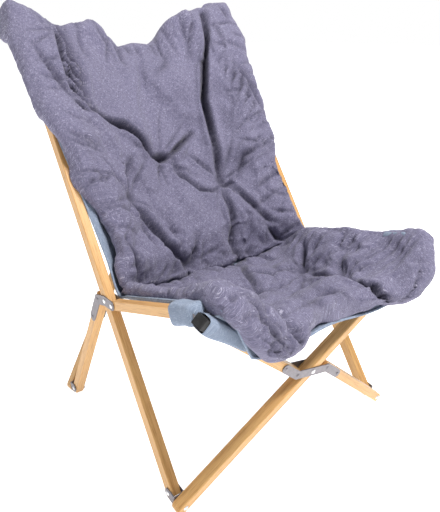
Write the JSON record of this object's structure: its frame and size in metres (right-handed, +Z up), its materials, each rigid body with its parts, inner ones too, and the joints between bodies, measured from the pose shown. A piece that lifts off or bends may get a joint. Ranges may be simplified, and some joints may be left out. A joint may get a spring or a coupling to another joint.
{
  "type": "butterfly sling chair",
  "caption": "Folding wooden lounge chair whose crossed bars carry a canvas sling with a tufted pad; it folds flat sideways into a bundle of bars.",
  "frame": {"origin": "middle of the bounding box on the floor", "axes": "+Z up, the sitter faces -Y, +X to the right seen from the front"},
  "size_m": [0.6346, 0.8404, 0.931],
  "materials": {
    "wood": "clear satin lacquer on light laminated wood",
    "steel": "pressed sheet, dull zinc",
    "rivet": "bright domed heads",
    "cap": "matt black",
    "canvas": "heavy plain weave",
    "pad": "heathered weave, quilted and tufted"
  },
  "bodies": {
    "long_left": {"long_bar_left": "wood", "leg_pivot_left": "rivet", "sling_back": "canvas", "pad_back": "pad"},
    "leg_left": {"leg_left": "wood", "corner_plate_outer_left": "steel", "corner_plate_inner_left": "steel", "seat_pivot_left": "rivet"},
    "seat_left": {"seat_bar_left": "wood", "sling_seat": "canvas", "pad_seat": "pad"},
    "bracket_front_high_left": {"bracket_front_high_left": "steel", "bracket_pin_front_high_left": "rivet", "front_web_rivet_high_left": "rivet"},
    "front_split": {"front_split_bar_lower": "wood", "front_split_bar_upper": "wood", "front_split_bar_cap": "cap", "front_cross_plate_outer": "steel", "front_cross_plate_inner": "steel", "front_cross_pivot": "rivet", "front_web_rivet_low_right": "rivet"},
    "front_through": {"front_bar": "wood", "front_bar_cap": "cap", "front_web_rivet_low_left": "rivet"},
    "bracket_front_high_right": {"bracket_front_high_right": "steel", "bracket_pin_front_high_right": "rivet", "front_web_rivet_high_right": "rivet"},
    "seat_right": {"seat_bar_right": "wood"},
    "leg_right": {"leg_right": "wood", "corner_plate_outer_right": "steel", "corner_plate_inner_right": "steel", "seat_pivot_right": "rivet"},
    "long_right": {"long_bar_right": "wood", "leg_pivot_right": "rivet"},
    "bracket_rear_low_left": {"bracket_rear_low_left": "steel", "bracket_pin_rear_low_left": "rivet", "rear_web_rivet_low_left": "rivet"},
    "rear_through": {"rear_bar": "wood", "rear_bar_cap": "cap", "rear_web_rivet_high_right": "rivet"},
    "rear_split": {"rear_split_bar_lower": "wood", "rear_split_bar_upper": "wood", "rear_split_bar_cap": "cap", "rear_cross_plate_outer": "steel", "rear_cross_plate_inner": "steel", "rear_cross_pivot": "rivet", "rear_web_rivet_high_left": "rivet", "rear_web_rivet_low_right": "rivet"},
    "bracket_front_low_left": {"bracket_front_low_left": "steel", "bracket_pin_front_low_left": "rivet"},
    "bracket_rear_high_left": {"bracket_rear_high_left": "steel", "bracket_pin_rear_high_left": "rivet"},
    "bracket_front_low_right": {"bracket_front_low_right": "steel", "bracket_pin_front_low_right": "rivet"},
    "bracket_rear_high_right": {"bracket_rear_high_right": "steel", "bracket_pin_rear_high_right": "rivet"},
    "bracket_rear_low_right": {"bracket_rear_low_right": "steel", "bracket_pin_rear_low_right": "rivet"}
  },
  "joints": [
    {"name": "fold", "type": "hinge", "parent": "long_left", "child": "leg_left", "pos_m": [-0.283, -0.01364, 0.34569], "axis": [1, 0, 0], "range_deg": [-63.8, 0], "deforming": ["pad_back", "sling_back", "pad_seat", "sling_seat"]},
    {"name": "seat_left_turn", "type": "hinge", "parent": "leg_left", "child": "seat_left", "pos_m": [-0.283, -0.04365, 0.34617], "axis": [1, 0, 0], "range_deg": [-34.07, 0]},
    {"name": "bracket_front_high_left_turn", "type": "hinge", "parent": "seat_left", "child": "bracket_front_high_left", "pos_m": [-0.283, -0.3218, 0.4414], "axis": [1, 0, 0], "range_deg": [0, 57.13]},
    {"name": "front_split_turn", "type": "hinge", "parent": "bracket_front_high_left", "child": "front_split", "pos_m": [-0.283, -0.35414, 0.43484], "axis": [0, -0.9801, -0.1987], "range_deg": [-44.81, 0]},
    {"name": "front_through_turn", "type": "hinge", "parent": "front_split", "child": "front_through", "pos_m": [0, -0.31178, 0.22594], "axis": [0, -0.9801, -0.1987], "range_deg": [0, 89.62]},
    {"name": "bracket_front_high_right_turn", "type": "hinge", "parent": "front_through", "child": "bracket_front_high_right", "pos_m": [0.283, -0.35414, 0.43484], "axis": [0, -0.9801, -0.1987], "range_deg": [-44.81, 0]},
    {"name": "seat_right_turn", "type": "hinge", "parent": "bracket_front_high_right", "child": "seat_right", "pos_m": [0.283, -0.3218, 0.4414], "axis": [1, 0, 0], "range_deg": [-57.13, 0]},
    {"name": "leg_right_turn", "type": "hinge", "parent": "seat_right", "child": "leg_right", "pos_m": [0.283, -0.04365, 0.34617], "axis": [1, 0, 0], "range_deg": [0, 34.07]},
    {"name": "long_right_turn", "type": "hinge", "parent": "leg_right", "child": "long_right", "pos_m": [0.283, -0.01364, 0.34569], "axis": [1, 0, 0], "range_deg": [0, 63.81]},
    {"name": "bracket_rear_low_left_turn", "type": "hinge", "parent": "leg_left", "child": "bracket_rear_low_left", "pos_m": [-0.283, 0.19394, 0.0236], "axis": [1, 0, 0], "range_deg": [0, 41.4]},
    {"name": "rear_through_turn", "type": "hinge", "parent": "bracket_rear_low_left", "child": "rear_through", "pos_m": [-0.283, 0.22633, 0.01733], "axis": [0, -0.9818, 0.1901], "range_deg": [0, 27.26]},
    {"name": "rear_split_turn", "type": "hinge", "parent": "rear_through", "child": "rear_split", "pos_m": [0, 0.30979, 0.44828], "axis": [0, -0.9818, 0.1901], "range_deg": [-54.52, 0]},
    {"name": "bracket_front_low_left_turn", "type": "hinge", "parent": "long_left", "child": "bracket_front_low_left", "pos_m": [-0.283, -0.23708, 0.0236], "axis": [1, 0, 0], "range_deg": [-40.75, 0]},
    {"name": "bracket_rear_high_left_turn", "type": "hinge", "parent": "long_left", "child": "bracket_rear_high_left", "pos_m": [-0.283, 0.36085, 0.88551], "axis": [1, 0, 0], "range_deg": [-22.42, 0]},
    {"name": "bracket_front_low_right_turn", "type": "hinge", "parent": "long_right", "child": "bracket_front_low_right", "pos_m": [0.283, -0.23708, 0.0236], "axis": [1, 0, 0], "range_deg": [-40.75, 0]},
    {"name": "bracket_rear_high_right_turn", "type": "hinge", "parent": "long_right", "child": "bracket_rear_high_right", "pos_m": [0.283, 0.36085, 0.88551], "axis": [1, 0, 0], "range_deg": [-22.42, 0]},
    {"name": "bracket_rear_low_right_turn", "type": "hinge", "parent": "leg_right", "child": "bracket_rear_low_right", "pos_m": [0.283, 0.19394, 0.0236], "axis": [1, 0, 0], "range_deg": [0, 41.4]}
  ],
  "couplings": [
    {"joint": "seat_left_turn", "follows": "fold", "ratio": 0.53382},
    {"joint": "bracket_front_high_left_turn", "follows": "fold", "ratio": -0.89523},
    {"joint": "front_split_turn", "follows": "fold", "ratio": 0.70225},
    {"joint": "front_through_turn", "follows": "fold", "ratio": -1.4045},
    {"joint": "bracket_front_high_right_turn", "follows": "fold", "ratio": 0.70225},
    {"joint": "seat_right_turn", "follows": "fold", "ratio": 0.89523},
    {"joint": "leg_right_turn", "follows": "fold", "ratio": -0.53382},
    {"joint": "long_right_turn", "follows": "fold", "ratio": -1},
    {"joint": "bracket_rear_low_left_turn", "follows": "fold", "ratio": -0.64876},
    {"joint": "rear_through_turn", "follows": "fold", "ratio": -0.42716},
    {"joint": "rear_split_turn", "follows": "fold", "ratio": 0.85431},
    {"joint": "bracket_front_low_left_turn", "follows": "fold", "ratio": 0.63859},
    {"joint": "bracket_rear_high_left_turn", "follows": "fold", "ratio": 0.35124},
    {"joint": "bracket_front_low_right_turn", "follows": "fold", "ratio": 0.63859},
    {"joint": "bracket_rear_high_right_turn", "follows": "fold", "ratio": 0.35124},
    {"joint": "bracket_rear_low_right_turn", "follows": "fold", "ratio": -0.64876}
  ]
}
